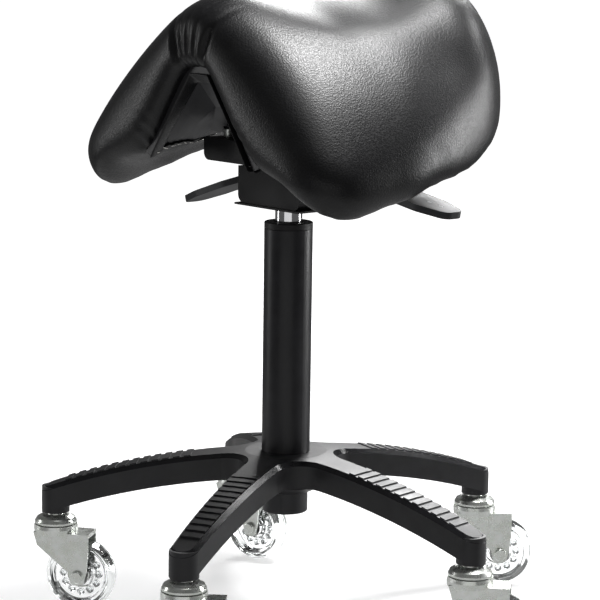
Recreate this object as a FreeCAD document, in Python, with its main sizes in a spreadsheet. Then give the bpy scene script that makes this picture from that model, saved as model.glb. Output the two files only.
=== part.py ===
import FreeCAD, Part
import math
import os

import Sketcher
from FreeCAD import Rotation, Vector

# Adjustable swivel saddle stool, in millimetres. The origin is on the floor under the gas column's axis,
# +Z is up and the saddle's pommel (its front) faces -Y, so the sitter's right hand is at -X.

doc = FreeCAD.newDocument("SaddleStool")
sheet = doc.addObject("Spreadsheet::Sheet", "Sizes")


class Size:
    """A size from the sheet, or worked out from such sizes: its expression and its number together."""

    def __init__(self, text, value):
        self.text = text
        self.value = float(value)

    @staticmethod
    def of(other):
        return other if isinstance(other, Size) else Size(repr(float(other)), other)

    def __add__(self, other):
        other = Size.of(other)
        return Size(f"({self.text} + {other.text})", self.value + other.value)

    def __sub__(self, other):
        other = Size.of(other)
        return Size(f"({self.text} - {other.text})", self.value - other.value)

    def __mul__(self, factor):
        factor = Size.of(factor)
        return Size(f"({self.text} * {factor.text})", self.value * factor.value)

    def __truediv__(self, divisor):
        return Size(f"({self.text} / {float(divisor)!r})", self.value / divisor)

    def __neg__(self):
        return Size(f"(-1 * {self.text})", -self.value)


rows_used = []


def size(alias, value, what):
    """Writes one driving dimension into the sheet and returns it."""
    rows_used.append(alias)
    row = len(rows_used)
    sheet.set(f"A{row}", what)
    sheet.set(f"B{row}", str(value))
    sheet.setAlias(f"B{row}", alias)
    return Size(f"Sizes.{alias}", value)


# ---- Driving dimensions ----

arm_turn = size("arm_turn", 7.9, "angle of the first arm from +X, degrees")
caster_circle = size("caster_circle", 242.6, "radius of the circle of caster stems")
arm_root_width = size("arm_root_width", 44, "arm width where the arms meet")
arm_tip_width = size("arm_tip_width", 29, "arm width and socket width at the tip")
valley_round = size("valley_round", 28, "plan radius between two arms")
hub_top = size("hub_top", 178, "height of the hub's top face")
hub_flat = size("hub_flat", 42, "radius of the flat on top of the hub")
hub_height = size("hub_height", 41, "height of the hub boss")
hub_boss_dia = size("hub_boss_dia", 56, "diameter of the boss under the hub")
arm_mid_drop = size("arm_mid_drop", 16, "fall of the arm's top from the hub to halfway out")
arm_tip_drop = size("arm_tip_drop", 47.5, "fall of the arm's top from the hub to the tip")
arm_depth = size("arm_depth", 27.5, "depth of an arm from top to underside")
socket_bottom = size("socket_bottom", 104, "height of the underside of a caster socket")
edge_bevel = size("edge_bevel", 4.2, "bevel along the arms' top edges")
arm_wall = size("arm_wall", 5, "wall of the hollow arms")
tread_start = size("tread_start", 98, "radius where the foot tread starts")
tread_pitch = size("tread_pitch", 11.4, "distance from one tread rib to the next")
rib_width = size("rib_width", 7, "width of a tread rib along the arm")
rib_height = size("rib_height", 1.3, "height of a tread rib")
rib_margin = size("rib_margin", 0.6, "distance of a rib's end from the bevel")

tube_dia = size("tube_dia", 50, "outer diameter of the column tube")
tube_wall = size("tube_wall", 2, "wall of the column tube")
tube_top = size("tube_top", 418, "height of the top of the column with its guide cap")
tube_below = size("tube_below", 23, "how far the column stands out below the hub")
cap_height = size("cap_height", 6.5, "height of the guide sleeve's cap")
guide_length = size("guide_length", 120, "length of the guide sleeve inside the tube")
lift_dia = size("lift_dia", 28, "diameter of the gas cylinder")
lift_top = size("lift_top", 470, "height of the gas cylinder's top, seat at its lowest")
lift_length = size("lift_length", 320, "length of the gas cylinder")
rod_dia = size("rod_dia", 10, "diameter of the piston rod")
pin_dia = size("pin_dia", 8, "diameter of the gas spring's release pin")
pin_travel = size("pin_travel", 5.5, "travel of the release pin")
slide_gap = size("slide_gap", 0.06, "radial running clearance of shafts and bores")
free_gap = size("free_gap", 0.3, "gap between faces that move past each other")

caster_stem_dia = size("caster_stem_dia", 11, "diameter of the caster's stem")
cup_dia = size("cup_dia", 44, "diameter of the caster's top cup")
fork_width = size("fork_width", 30, "width across the caster's fork")
sheet_metal = size("sheet_metal", 2.5, "thickness of the fork's sheet metal")
wheel_dia = size("wheel_dia", 76, "diameter of the caster wheel")
wheel_width = size("wheel_width", 23, "width of the caster wheel")
tread_depth = size("tread_depth", 8, "depth of the wheel's soft tyre")
wheel_trail = size("wheel_trail", 28, "distance of the wheel's axle behind the swivel axis")
axle_dia = size("axle_dia", 8, "diameter of the wheel's axle bolt")
bearing_dia = size("bearing_dia", 22, "outer diameter of the wheel's ball bearings")

housing_width = size("housing_width", 96, "width of the mechanism's housing")
housing_front = size("housing_front", 28, "housing reach in front of the column axis")
housing_back = size("housing_back", 64, "housing reach behind the column axis")
housing_bottom = size("housing_bottom", 435, "height of the housing's underside")
housing_height = size("housing_height", 38, "height of the housing")
plate_steel = size("plate_steel", 3, "thickness of the mechanism's steel")
tilt_height = size("tilt_height", 466, "height of the tilt axis")
tray_width = size("tray_width", 110, "width of the tilting seat plate")
tray_front = size("tray_front", 68, "seat plate reach in front of the column axis")
tray_back = size("tray_back", 76, "seat plate reach behind the column axis")
tray_bottom = size("tray_bottom", 481, "height of the seat plate's lower edge")
tray_top = size("tray_top", 504, "height of the seat plate's top")
lever_back = size("lever_back", 36, "levers' place behind the column axis")
lever_reach = size("lever_reach", 204, "distance of a lever's tip from the middle")
lever_pivot = size("lever_pivot", 43, "distance of a lever's pivot from the middle")
height_droop = size("height_droop", 18, "angle the height lever hangs below level, degrees")
tilt_droop = size("tilt_droop", 9.5, "angle the tilt lever hangs below level, degrees")
paddle_width = size("paddle_width", 42, "width of a lever's paddle")
paddle_thick = size("paddle_thick", 7, "thickness of a lever's paddle")

saddle_width = size("saddle_width", 410, "width of the saddle")
saddle_front = size("saddle_front", 134, "saddle reach in front of the column axis")
saddle_back = size("saddle_back", 188, "saddle reach behind the column axis")
saddle_forward = size("saddle_forward", 8, "how far in front of the column the saddle is drawn from")
pommel_top = size("pommel_top", 657, "height of the pommel")
dip_top = size("dip_top", 650, "height of the lowest point of the seat's top")
cantle_top = size("cantle_top", 680, "height of the raised back edge")
flap_bottom = size("flap_bottom", 440, "height of the lowest point of the side flaps")
arch_top = size("arch_top", 583, "height of the arch under the pommel")
pan_thick = size("pan_thick", 9, "thickness of the seat pan")
leather_thick = size("leather_thick", 2, "thickness of the leather with its backing")

ARMS = 5
FULL_TURN = 360.0
RIBS = 12


# ---- Ways of making a piece ----

def bind(thing, **sizes):
    """Ties properties of an object to the sheet."""
    for name, wanted in sizes.items():
        thing.setExpression(name, Size.of(wanted).text)


def plane_of(body, role):
    return next(item for item in body.Origin.OriginFeatures if item.Role == role)


def new_body(label):
    body = doc.addObject("PartDesign::Body", label)
    body.Label = label
    return body


def outline_sketch(body, role, corners, offset=None):
    """A closed polygon on one of the body's planes, with each corner tied to the sheet."""
    sketch = body.newObject("Sketcher::SketchObject", body.Name + "_outline")
    sketch.AttachmentSupport = (plane_of(body, role), [""])
    sketch.MapMode = "FlatFace"
    if offset is not None:
        sketch.setExpression("AttachmentOffset.Base.z", Size.of(offset).text)
    corners = [(Size.of(across), Size.of(along)) for across, along in corners]
    for here, there in zip(corners, corners[1:] + corners[:1]):
        start = Vector(here[0].value, here[1].value, 0)
        sketch.addGeometry(Part.LineSegment(start, Vector(there[0].value, there[1].value, 0)), False)
    for number in range(len(corners)):
        sketch.addConstraint(Sketcher.Constraint("Coincident", number, 2, (number + 1) % len(corners), 1))
    for number, corner in enumerate(corners):
        for kind, place in zip(("DistanceX", "DistanceY"), corner):
            added = sketch.addConstraint(Sketcher.Constraint(kind, -1, 1, number, 1, place.value))
            sketch.setExpression(f"Constraints[{added}]", place.text)
    return sketch


def turned(label, corners, rounds=()):
    """A piece turned about Z: corners are (radius, height), rounds are (radius, height, fillet)."""
    body = new_body(label)
    sketch = outline_sketch(body, "XZ_Plane", corners)
    spin = body.newObject("PartDesign::Revolution", label + "_spin")
    spin.Profile = sketch
    spin.ReferenceAxis = (sketch, ["V_Axis"])
    spin.Angle = FULL_TURN
    doc.recompute()
    for number, (radius, height, fillet) in enumerate(rounds):
        names = ring_edges(body.Shape, Size.of(radius).value, Size.of(height).value)
        base = body.Tip
        soft = body.newObject("PartDesign::Fillet", f"{label}_round{number}")
        soft.Base = (base, names)
        bind(soft, Radius=fillet)
        doc.recompute()
    return body


def ring_edges(shape, radius, height, slack=0.05):
    """Names of the circular edges about Z with this radius at this height."""
    found = []
    for number, edge in enumerate(shape.Edges, 1):
        curve = edge.Curve
        if not isinstance(curve, Part.Circle):
            continue
        if abs(curve.Radius - radius) < slack and abs(curve.Center.z - height) < slack:
            found.append(f"Edge{number}")
    return found


def padded(label, role, corners, length, offset=None, both=False):
    """A straight bar: a polygon pushed out along the plane's normal."""
    body = new_body(label)
    sketch = outline_sketch(body, role, corners, offset)
    pad = body.newObject("PartDesign::Pad", label + "_pad")
    pad.Profile = sketch
    bind(pad, Length=length)
    pad.Midplane = both
    doc.recompute()
    return body


def cylinder(name, radius, height, base=(0, 0, 0), direction=Vector(0, 0, 1)):
    made = doc.addObject("Part::Cylinder", name)
    bind(made, Radius=radius, Height=height)
    made.Placement.Rotation = Rotation(Vector(0, 0, 1), direction)
    for axis, place in zip("xyz", base):
        made.setExpression(f"Placement.Base.{axis}", Size.of(place).text)
    return made


def block(name, low, high):
    """A box from its lowest corner to its highest."""
    low = [Size.of(place) for place in low]
    high = [Size.of(place) for place in high]
    made = doc.addObject("Part::Box", name)
    bind(made, Length=high[0] - low[0], Width=high[1] - low[1], Height=high[2] - low[2])
    for axis, place in zip("xyz", low):
        made.setExpression(f"Placement.Base.{axis}", place.text)
    return made


def fused(name, pieces):
    made = doc.addObject("Part::MultiFuse", name)
    made.Shapes = pieces
    made.Refine = True
    return made


def cut(name, base, tool):
    made = doc.addObject("Part::Cut", name)
    made.Base = base
    made.Tool = tool
    return made


def common(name, pieces):
    made = doc.addObject("Part::MultiCommon", name)
    made.Shapes = pieces
    return made


def group(name, pieces):
    made = doc.addObject("Part::Compound", name)
    made.Links = pieces
    return made


nodes = {}


def node(name, piece, placement=None):
    """Keeps a finished piece under the name of its file."""
    piece.Label = name
    if placement is not None:
        piece.Placement = placement
    nodes[name] = piece
    return piece


def arm_angle(number):
    return arm_turn.value + number * FULL_TURN / ARMS


# ---- Five-arm base casting ----

tip_radius = caster_circle + arm_tip_width / 2
half_taper = (arm_root_width - arm_tip_width) / 2


def arm_half_width(radius, inset):
    """Half the arm's width at a distance from the axis."""
    share = radius.value / tip_radius.value
    root = arm_root_width / 2 - inset
    return root - half_taper * share


def star_plan(label, inner, outer, inset, corner_round):
    """Five tapering arms seen from above, standing as a tall block."""
    wide = arm_half_width(inner, inset)
    narrow = arm_half_width(outer, inset)
    corners = [(inner, -wide), (outer, -narrow), (outer, narrow), (inner, wide)]
    body = padded(label, "XY_Plane", corners, hub_top, 0)
    arms = body.newObject("PartDesign::PolarPattern", label + "_arms")
    arms.Originals = [body.Tip]
    arms.Axis = (plane_of(body, "Z_Axis"), [""])
    arms.Angle = FULL_TURN
    arms.Occurrences = ARMS
    body.Tip = arms
    doc.recompute()
    if corner_round is not None:
        round_uprights(body, label + "_valleys", valley_round,
                       lambda reach: reach < valley_round.value * 2)
        round_uprights(body, label + "_tips", corner_round, lambda reach: reach > caster_circle.value)
    body.Placement.Rotation = Rotation(Vector(0, 0, 1), arm_turn.value)
    return body


def round_uprights(body, name, radius, wanted):
    """Rounds the upright edges whose distance from the axis passes the test."""
    names = []
    for number, edge in enumerate(body.Shape.Edges, 1):
        along = edge.Vertexes[-1].Point - edge.Vertexes[0].Point
        middle = edge.CenterOfMass
        upright = abs(along.z) > 1 and abs(along.x) + abs(along.y) < 0.01
        if upright and wanted(math.hypot(middle.x, middle.y)):
            names.append(f"Edge{number}")
    base = body.Tip
    soft = body.newObject("PartDesign::Fillet", name)
    soft.Base = (base, names)
    bind(soft, Radius=radius)
    doc.recompute()


def arc_face(top_points, low_points):
    """A face in the XZ plane between an upper arc and a lower one, each through three points."""
    top = Part.Arc(*[Vector(across, 0, up) for across, up in top_points]).toShape()
    low = Part.Arc(*[Vector(across, 0, up) for across, up in low_points]).toShape()
    ends = [Part.makeLine(top.Vertexes[-1].Point, low.Vertexes[-1].Point),
            Part.makeLine(low.Vertexes[0].Point, top.Vertexes[0].Point)]
    return Part.Face(Part.Wire(Part.__sortEdges__([top, ends[0], low, ends[1]])))


def side_band(name, rise, drop, start, stop):
    """The arm's side view swept about Z, from a rise over its top line to a drop under it."""
    line = top_line()
    reach = [start, (start + stop) / 2, stop]
    heights = [height_on(line, radius) for radius in reach]
    face = arc_face([(r, up + rise) for r, up in zip(reach, heights)],
                    [(r, up - drop) for r, up in zip(reach, heights)])
    made = doc.addObject("Part::Feature", name)
    made.Shape = face.revolve(Vector(0, 0, 0), Vector(0, 0, 1), FULL_TURN)
    return made


def height_on(line, radius):
    """Height of the arm's top line at a distance from the axis."""
    circle = line.toShape().Curve
    across = radius - circle.Center.x
    return circle.Center.z + math.sqrt(circle.Radius ** 2 - across ** 2)


def top_line():
    """The arm's top line in the side view, from the hub's flat to the tip."""
    middle = (hub_flat.value + tip_radius.value) / 2
    return Part.Arc(Vector(hub_flat.value, 0, hub_top.value),
                    Vector(middle, 0, hub_top.value - arm_mid_drop.value),
                    Vector(tip_radius.value, 0, hub_top.value - arm_tip_drop.value))


def bevelled(name, base, width):
    """Bevels the edges between the arms' crowned top and their sides."""
    line = top_line()
    doc.recompute()
    edges = []
    for number, edge in enumerate(base.Shape.Edges, 1):
        middle = edge.valueAt((edge.FirstParameter + edge.LastParameter) / 2)
        reach = math.hypot(middle.x, middle.y)
        if reach > hub_flat.value + 1 and abs(middle.z - height_on(line, reach)) < 0.2:
            edges.append((number, width.value, width.value))
    made = doc.addObject("Part::Chamfer", name)
    made.Base = base
    made.Edges = edges
    return made


def on_arms(name, make):
    """One piece per arm, each turned to its arm."""
    made = []
    for number in range(ARMS):
        piece = make(f"{name}_{number}")
        turn = Rotation(Vector(0, 0, 1), arm_angle(number))
        piece.Placement = FreeCAD.Placement(turn.multVec(piece.Placement.Base),
                                            turn.multiply(piece.Placement.Rotation))
        made.append(piece)
    return made


def on_circle(piece, number):
    """Ties a piece to the caster circle at an arm's tip."""
    angle = f"Sizes.arm_turn + {number * FULL_TURN / ARMS}"
    piece.setExpression("Placement.Base.x", f"Sizes.caster_circle * cos({angle})")
    piece.setExpression("Placement.Base.y", f"Sizes.caster_circle * sin({angle})")
    return piece


plan = star_plan("star_plan", Size.of(0), tip_radius, Size.of(0), arm_tip_width / 2 - 0.5)
arm_band = side_band("arm_band", 0, arm_depth.value, hub_flat.value, tip_radius.value + 1)
arms_only = common("arms_only", [plan, arm_band])
arms_bevelled = bevelled("arms_bevelled", arms_only, edge_bevel)
hub_core = turned("hub_core", [
    (0, hub_top - hub_height), (hub_boss_dia / 2, hub_top - hub_height),
    (hub_flat + 6, hub_top - arm_depth - 4), (hub_flat + 0.5, hub_top), (0, hub_top)])
sockets = [on_circle(cylinder(f"socket_{number}", arm_tip_width / 2, arm_depth, (0, 0, socket_bottom)),
                     number)
           for number in range(ARMS)]
star_solid = fused("star_solid", [arms_bevelled, hub_core] + sockets)

# The arms are hollow underneath, from the hub boss to the sockets.
hollow_plan = star_plan("hollow_plan", hub_boss_dia / 2 + arm_wall * 3,
                        caster_circle - arm_tip_width / 2 - arm_wall,
                        arm_wall, None)
hollow_band = side_band("hollow_band", -arm_wall.value, arm_depth.value + 10, hub_flat.value,
                        tip_radius.value)
hollows = common("hollows", [hollow_plan, hollow_band])

# Twelve ribs across each arm's tread stand out of its crowned top.
rib_band = side_band("rib_band", rib_height.value, 1, tread_start.value - 10, tip_radius.value - 1)


def rib_block(name, arm, place):
    """A rib as a tall block across an arm, as wide as the arm's top at its place."""
    half = arm_half_width(place, 0) - edge_bevel - rib_margin
    floor = hub_top - arm_tip_drop - rib_margin * 10
    made = block(name, (0, 0, 0), (rib_width, half * 2, hub_top - floor))
    for axis in "xyz":
        made.setExpression(f"Placement.Base.{axis}", None)
    turn = Rotation(Vector(0, 0, 1), arm_angle(arm))
    made.Placement = FreeCAD.Placement(turn.multVec(Vector(place.value, -half.value, floor.value)), turn)
    return made


rib_blocks = [rib_block(f"rib_{arm}_{rib}", arm, tread_start + tread_pitch * rib)
              for arm in range(ARMS) for rib in range(RIBS)]
rib_posts = group("rib_posts", rib_blocks)
ribs = common("ribs", [rib_posts, rib_band])

hub_bore = turned("hub_bore", [
    (0, 90), (tube_dia / 2 - 1 + 0.02, 90), (tube_dia / 2 - 1 + 0.02, hub_top - hub_height),
    (tube_dia / 2 + 0.02, hub_top), (tube_dia / 2 + 0.02, hub_top + 5), (0, hub_top + 5)])
stem_bores = [on_circle(cylinder(f"stem_bore_{number}", caster_stem_dia / 2 + 0.02, 24,
                                 (0, 0, socket_bottom - 1)), number)
              for number in range(ARMS)]
star_ribbed = fused("star_ribbed", [star_solid, ribs])
star_tools = fused("star_tools", [hollows, hub_bore] + stem_bores)
node("star_base", cut("star_base", star_ribbed, star_tools))


# ---- Gas column ----

tube_bottom = hub_top - hub_height - tube_below
floor_low = tube_bottom + 3
floor_high = floor_low + 3
cone_low = tube_dia / 2 - 1
inner_low = cone_low - tube_wall
node("column_tube", turned("column_tube", [
    (cone_low - 0.5, tube_bottom), (cone_low - 0.5, hub_top - hub_height), (cone_low, hub_top - hub_height),
    (tube_dia / 2, hub_top), (tube_dia / 2, tube_top - cap_height - 0.5),
    (tube_dia / 2 - tube_wall, tube_top - cap_height - 0.5), (tube_dia / 2 - tube_wall, hub_top),
    (inner_low - 0.5, hub_top - hub_height), (inner_low - 0.5, floor_high),
    (rod_dia / 2 + 0.1, floor_high), (rod_dia / 2 + 0.1, floor_low),
    (inner_low - 0.5, floor_low), (inner_low - 0.5, tube_bottom)],
    rounds=[(cone_low - 0.5, tube_bottom, 1.4)]))

sleeve_outer = tube_dia / 2 - tube_wall - 0.02
lift_radius = lift_dia / 2
node("guide_sleeve", turned("guide_sleeve", [
    (lift_radius + slide_gap, tube_top - guide_length), (sleeve_outer, tube_top - guide_length),
    (sleeve_outer, tube_top - cap_height - 0.5), (sleeve_outer - 0.8, tube_top - cap_height),
    (tube_dia / 2, tube_top - cap_height), (tube_dia / 2, tube_top),
    (lift_radius + 2, tube_top), (lift_radius + slide_gap, tube_top - 2)],
    rounds=[(tube_dia / 2, tube_top, 1.2)]))

lift_bottom = lift_top - lift_length
cone_start = housing_bottom
cone_small = lift_radius - 0.8
lift_inside = lift_radius - 1.8
node("gas_cylinder", turned("gas_cylinder", [
    (rod_dia / 2 + slide_gap, lift_bottom), (lift_radius - 1, lift_bottom), (lift_radius, lift_bottom + 1),
    (lift_radius, cone_start), (cone_small, lift_top - 1), (cone_small - 1, lift_top),
    (pin_dia / 2 + slide_gap, lift_top), (pin_dia / 2 + slide_gap, lift_top - 15),
    (lift_inside - 0.8, lift_top - 15), (lift_inside, cone_start), (lift_inside, lift_bottom + 15),
    (rod_dia / 2 + slide_gap, lift_bottom + 15)]))

piston_low = lift_top - 40
clip_low = floor_low - 1.9
node("piston_rod", turned("piston_rod", [
    (0, clip_low - 0.5), (rod_dia / 2, clip_low - 0.5), (rod_dia / 2, piston_low), (0, piston_low)]))
piston_radius = lift_inside - 0.8 - slide_gap
node("gas_piston", turned("gas_piston", [
    (0, piston_low), (piston_radius, piston_low), (piston_radius, piston_low + 12), (0, piston_low + 12)]))
node("rod_clip", turned("rod_clip", [
    (rod_dia / 2 + 0.02, clip_low), (rod_dia / 2 + 5, clip_low), (rod_dia / 2 + 5, floor_low - 0.3),
    (rod_dia / 2 + 0.02, floor_low - 0.3)]))
race_thick = 2.0
race_reach = rod_dia / 2 + 9
node("thrust_race_lower", turned("thrust_race_lower", [
    (rod_dia / 2 + 0.3, floor_high), (race_reach, floor_high), (race_reach, floor_high + race_thick),
    (rod_dia / 2 + 0.3, floor_high + race_thick)]))
ball_dia = 4.0
race_low = floor_high + race_thick + 0.05
BALLS = 10


def ball_ring(name, count, circle, ball, height):
    """A ring of separate balls about Z."""
    balls = []
    for number in range(count):
        made = doc.addObject("Part::Sphere", f"{name}_{number}")
        bind(made, Radius=ball / 2)
        turn = f"{number * FULL_TURN / count}"
        made.setExpression("Placement.Base.x", f"{Size.of(circle).text} * cos({turn})")
        made.setExpression("Placement.Base.y", f"{Size.of(circle).text} * sin({turn})")
        made.setExpression("Placement.Base.z", Size.of(height).text)
        balls.append(made)
    return group(name, balls)


ball_size = Size.of(ball_dia)
node("thrust_balls", ball_ring("thrust_balls", BALLS, rod_dia / 2 + 4.5, ball_size, race_low + ball_dia / 2))
upper_race = race_low + ball_dia + 0.05
node("thrust_race_upper", turned("thrust_race_upper", [
    (rod_dia / 2 + 0.02, upper_race), (race_reach, upper_race), (race_reach, upper_race + race_thick),
    (rod_dia / 2 + 0.02, upper_race + race_thick)]))
node("rubber_buffer", turned("rubber_buffer", [
    (rod_dia / 2 + 0.02, upper_race + race_thick), (rod_dia / 2 + 6, upper_race + race_thick),
    (rod_dia / 2 + 5, lift_bottom - free_gap), (rod_dia / 2 + 0.02, lift_bottom - free_gap)]))
pin_top = lift_top + 6
node("release_pin", turned("release_pin", [
    (0, lift_top - 18), (pin_dia / 2, lift_top - 18), (pin_dia / 2, pin_top), (0, pin_top)],
    rounds=[(pin_dia / 2, pin_top, 1)]))


# ---- Casters ----

wheel_radius = wheel_dia / 2
rim_radius = wheel_radius - tread_depth
half_wheel = wheel_width / 2
fork_inside = fork_width / 2 - sheet_metal
raceway_high = socket_bottom - 13
raceway_low = raceway_high - 7
CASTER_BALLS = 14
CASTER_BALL_DIA = 3.0
trail_angles = [40.5, 51.0, 14.0, 36.0, 45.0]


def make_caster(number):
    """One caster about its own swivel axis, trailing along +X, placed at its arm's tip."""
    tag = f"caster_{'abcde'[number]}"
    circle_turn = math.radians(arm_angle(number))
    spot = FreeCAD.Placement(Vector(caster_circle.value * math.cos(circle_turn),
                                    caster_circle.value * math.sin(circle_turn), 0),
                             Rotation(Vector(0, 0, 1), trail_angles[number]))
    cup = cup_dia / 2
    stem = caster_stem_dia / 2
    pieces = {}
    pieces["stem"] = turned(tag + "_stem", [
        (0, raceway_low - 3), (stem - 1.5, raceway_low - 3), (stem - 1.5, raceway_high - 2.5),
        (cup - 7, raceway_high - 2.5), (cup - 5, raceway_high + 1.2), (cup, raceway_high + 1.2),
        (cup, raceway_high + 3.4), (cup - 2, raceway_high + 7), (cup - 7, raceway_high + 9.5),
        (stem + 3.5, raceway_high + 10.2), (stem + 3, socket_bottom), (stem, socket_bottom),
        (stem, socket_bottom + 21), (stem - 1, socket_bottom + 22), (0, socket_bottom + 22)],
        rounds=[(cup, raceway_high + 3.4, 1.0), (cup - 2, raceway_high + 7, 3),
                (cup - 7, raceway_high + 9.5, 4)])
    ring = turned(tag + "_ring", [
        (stem - 1.5 + slide_gap * 3, raceway_low - 2.5), (cup + 0.5, raceway_low - 2.5), (cup + 1, raceway_low + 3),
        (cup + 0.5, raceway_high), (cup - 4, raceway_high), (cup - 5.5, raceway_low + 1.5),
        (cup - 10, raceway_low + 1.2), (stem - 1.5 + slide_gap * 3, raceway_low + 1.2)],
        rounds=[(cup + 1, raceway_low + 3, 2)])
    ball_height = raceway_low + CASTER_BALL_DIA / 2 + 1.42
    pieces["balls"] = ball_ring(tag + "_balls", CASTER_BALLS, cup - 7.9, Size.of(CASTER_BALL_DIA),
                                ball_height)
    pieces["fork"] = make_fork(tag, ring)
    pieces["axle_bolt"] = make_axle(tag)
    pieces["wheel_hub"] = make_wheel_hub(tag)
    pieces["tyre"] = turned(tag + "_tyre", [
        (rim_radius, -half_wheel + 3), (rim_radius + 1.5, -half_wheel + 1), (wheel_radius - 5, -half_wheel),
        (wheel_radius - 1.5, -half_wheel + 4), (wheel_radius, 0), (wheel_radius - 1.5, half_wheel - 4),
        (wheel_radius - 5, half_wheel), (rim_radius + 1.5, half_wheel - 1), (rim_radius, half_wheel - 3)],
        rounds=[(wheel_radius - 1.5, -half_wheel + 4, 6), (wheel_radius - 1.5, half_wheel - 4, 6)])
    pieces["bearings"] = make_bearings(tag)
    on_axle = FreeCAD.Placement(Vector(wheel_trail.value, 0, wheel_radius.value),
                                Rotation(Vector(1, 0, 0), -90))
    for kind, piece in pieces.items():
        local = on_axle if kind in ("axle_bolt", "wheel_hub", "tyre", "bearings") else FreeCAD.Placement()
        node(f"{tag}_{kind}", piece, spot.multiply(local))


def make_fork(tag, ring):
    """The swivel head: raceway ring, top plate, two tapering legs and the web behind them."""
    back = wheel_trail + 10
    high = raceway_low - 0.5
    low = wheel_radius - 10
    leg_round = axle_dia / 2 + 6
    outline = [(-20, high), (-16, high - 14), (wheel_trail - leg_round, wheel_radius + 4),
               (wheel_trail - leg_round + 3, low + 2), (wheel_trail, low),
               (wheel_trail + leg_round - 3, low + 2),
               (wheel_trail + leg_round, wheel_radius + 4), (back + 2, high - 18), (back + 2, high)]
    legs = padded(tag + "_legs", "XZ_Plane", outline, fork_width, 0, both=True)
    gap_high = wheel_dia + 3.5
    gap = block(tag + "_gap", (-40, -fork_inside, 0), (back + 30, fork_inside, gap_high))
    bore = cylinder(tag + "_fork_bore", axle_dia / 2 + 0.05, fork_width + 4,
                    (wheel_trail, fork_width / 2 + 2, wheel_radius), Vector(0, 1, 0) * -1)
    swivel_bore = cylinder(tag + "_swivel_bore", caster_stem_dia / 2 - 1.5 + slide_gap * 3, 20,
                           (0, 0, gap_high - 2))
    whole = fused(tag + "_whole", [ring, legs])
    tools = fused(tag + "_tools", [gap, bore, swivel_bore])
    return cut(tag + "_fork", whole, tools)


def make_axle(tag):
    """The axle bolt with its head, washer and nut, made about Z with its middle at the wheel's middle."""
    side = fork_width / 2
    radius = axle_dia / 2
    return turned(tag + "_bolt", [
        (0, -side - 4), (radius + 2.5, -side - 4), (radius + 2.5, -side - 0.05), (radius, -side - 0.05),
        (radius, side + 0.05), (radius + 4, side + 0.05), (radius + 4, side + 1.2), (radius + 2.4, side + 1.2),
        (radius + 2.4, side + 5), (0, side + 5)],
        rounds=[(radius + 2.5, -side - 4, 1.5)])


def make_wheel_hub(tag):
    """The clear wheel centre: rim, thin web and the bearing seat."""
    seat = bearing_dia / 2
    return turned(tag + "_hub_blank", [
        (axle_dia / 2 + 2, -4), (seat + 0.02, -4), (seat + 0.02, -half_wheel + 1), (seat + 3, -half_wheel + 1),
        (seat + 4, -4), (rim_radius - 4, -3), (rim_radius - 2.5, -half_wheel + 3),
        (rim_radius - 0.02, -half_wheel + 3), (rim_radius - 0.02, half_wheel - 3),
        (rim_radius - 2.5, half_wheel - 3), (rim_radius - 4, 3), (seat + 4, 4),
        (seat + 3, half_wheel - 1), (seat + 0.02, half_wheel - 1), (seat + 0.02, 4), (axle_dia / 2 + 2, 4)])


def make_bearings(tag):
    """Two ball bearings on the axle, each shown as one ring of its full section."""
    rings = []
    for number, side in enumerate((-1, 1)):
        start = 4 if side > 0 else -4
        stop = Size.of(half_wheel - 2) if side > 0 else -half_wheel + 2
        low, high = (Size.of(start), stop) if side > 0 else (stop, Size.of(start))
        rings.append(turned(f"{tag}_bearing_{number}", [
            (axle_dia / 2 + slide_gap, low), (bearing_dia / 2, low), (bearing_dia / 2, high),
            (axle_dia / 2 + slide_gap, high)]))
    return group(tag + "_bearings", rings)


for number in range(ARMS):
    make_caster(number)


# ---- Mechanism under the seat ----

def rounded(body, name, radius, direction, wanted):
    """Rounds the straight edges along a direction whose middle point passes the test."""
    names = []
    for number, edge in enumerate(body.Shape.Edges, 1):
        along = edge.Vertexes[-1].Point - edge.Vertexes[0].Point
        if along.cross(direction).Length < 0.01 and wanted(edge.CenterOfMass):
            names.append(f"Edge{number}")
    base = body.Tip
    soft = body.newObject("PartDesign::Fillet", name)
    soft.Base = (base, names)
    bind(soft, Radius=radius)
    doc.recompute()


ALONG_Y = Vector(0, 1, 0)
ALONG_X = Vector(1, 0, 0)
ALONG_Z = Vector(0, 0, 1)


def tray(label, half_width, low, high, front, back, corner):
    """A box seen from the front, pushed out from front to back, with its lower edges rounded."""
    outline = [(-half_width, low), (half_width, low), (half_width, high), (-half_width, high)]
    body = padded(label, "XZ_Plane", outline, front + back, 0, both=True)
    rounded(body, label + "_soft", corner, ALONG_Y, lambda middle: abs(middle.z - low.value) < 0.1)
    body.setExpression("Placement.Base.y", ((back - front) / 2).text)
    return body


housing_top = housing_bottom + housing_height
housing_half = housing_width / 2
lever_height = housing_top - 3
lever_half = Size.of(7)
notch_half = lever_half + 1
blank = tray("housing_blank", housing_half, housing_bottom, housing_top, housing_front, housing_back, 9)
inside = block("housing_inside",
               (plate_steel - housing_half, plate_steel - housing_front, housing_bottom + plate_steel),
               (housing_half - plate_steel, housing_back - plate_steel, housing_top + 1))
shell = cut("housing_shell", blank, inside)
hub = cylinder("housing_hub", lift_radius + 5, housing_height - 5, (0, 0, housing_bottom))
lugs = []
for side in (-1, 1):
    for place in (lever_back - notch_half - 4, lever_back + notch_half):
        low_x = housing_half * side if side < 0 else housing_half - 11
        lugs.append(block(f"lug_{side + 1}_{len(lugs)}", (low_x, place, housing_bottom + 12),
                          (low_x + 11, place + 4, housing_top + 2.5)))
cone_bore = turned("cone_bore", [
    (0, housing_bottom - 1), (lift_radius + 0.05, housing_bottom - 1), (lift_radius + 0.02, housing_bottom),
    (cone_small + 0.02, lift_top - 1), (cone_small + 0.02, lift_top + 5), (0, lift_top + 5)])
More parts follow.
